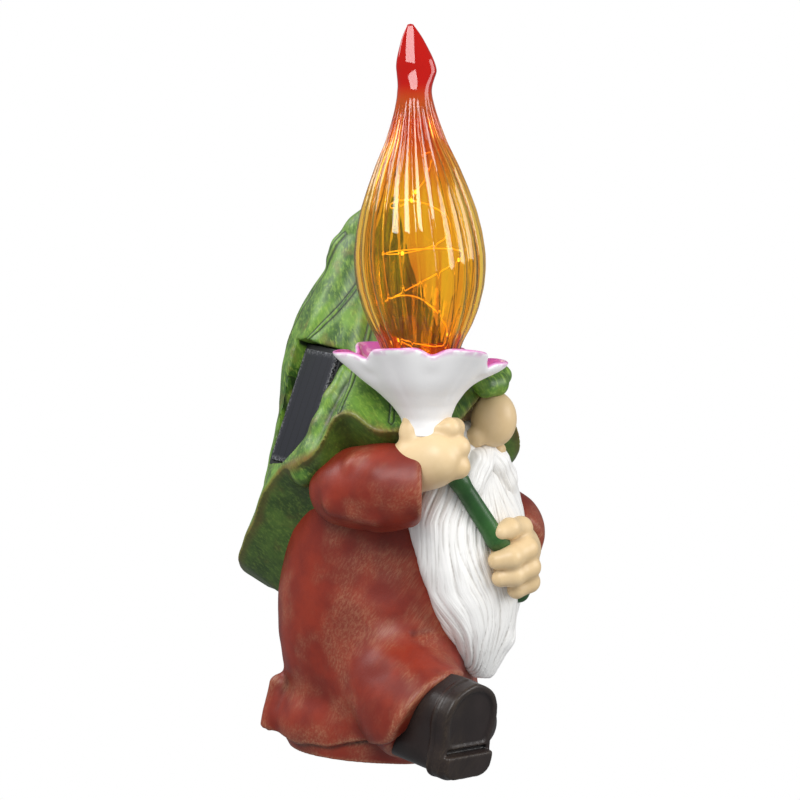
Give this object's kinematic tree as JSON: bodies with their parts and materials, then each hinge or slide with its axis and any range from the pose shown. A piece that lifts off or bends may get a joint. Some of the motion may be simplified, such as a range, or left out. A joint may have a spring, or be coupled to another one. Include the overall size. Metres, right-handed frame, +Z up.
{
  "type": "solar garden gnome lamp",
  "caption": "Cast garden gnome in a leaf hat with a solar panel, holding a flower that carries a fluted blown glass flame lit by fairy lights.",
  "frame": {"origin": "on the ground, at the middle of the base plate's underside", "axes": "+Z up; the gnome faces -Y, so its right hand, which holds the lamp, is at -X"},
  "size_m": [0.1404, 0.1482, 0.3095],
  "materials": {
    "robe_paint": "semi-gloss red paint, dry-brushed tan",
    "leaf_paint": "semi-gloss leaf green paint with brown edges",
    "skin_paint": "satin cream paint",
    "beard_paint": "satin white paint with a grey wash",
    "boot_paint": "semi-gloss dark brown paint",
    "flower_paint": "satin white paint with pink inside",
    "amber_glass": "fluted amber glass with a red tip",
    "white_plastic": "moulded",
    "black_plastic": "moulded",
    "solar_glass": "epoxy-coated dark cell",
    "copper_wire": "bare",
    "spring_steel": "plated",
    "cell_wrap": "green sleeve over steel",
    "board_green": "printed board",
    "lead_cover": "PVC"
  },
  "bodies": {
    "figure": {"base_plate": "black_plastic", "robe": "robe_paint", "head": "skin_paint", "nose": "skin_paint", "lower_lip": "skin_paint", "beard": "beard_paint", "moustache": "beard_paint", "right_sleeve": "robe_paint", "left_sleeve": "robe_paint", "right_hand": "skin_paint", "left_hand": "skin_paint", "right_boot": "boot_paint", "left_boot": "boot_paint", "leaf_hat": "leaf_paint", "hat_curl": "leaf_paint", "flower_stem": "leaf_paint", "flower_cup": "flower_paint", "glass_flame": "amber_glass", "lamp_plug": "white_plastic", "led_string": "copper_wire", "panel_tray": "black_plastic", "solar_cell": "solar_glass", "battery_case": "black_plastic", "battery_cell": "cell_wrap", "contact_plus": "spring_steel", "contact_minus": "spring_steel", "contact_spring": "spring_steel", "control_board": "board_green", "board_components": "black_plastic", "board_screws": "spring_steel", "switch_pins": "spring_steel", "switch_body": "black_plastic", "panel_lead": "lead_cover", "lamp_lead": "lead_cover", "battery_lead_plus": "lead_cover", "battery_lead_minus": "lead_cover"},
    "door": {"battery_door": "black_plastic", "door_screws": "spring_steel"},
    "switch": {"switch_slider": "white_plastic"}
  },
  "joints": [
    {"name": "power_switch", "type": "slide", "parent": "figure", "child": "switch", "axis": [1, 0, 0], "range_m": [0, 0.003]},
    {"name": "door_lift", "type": "slide", "parent": "figure", "child": "door", "axis": [0, 0, -1], "range_m": [0, 0.03]}
  ]
}
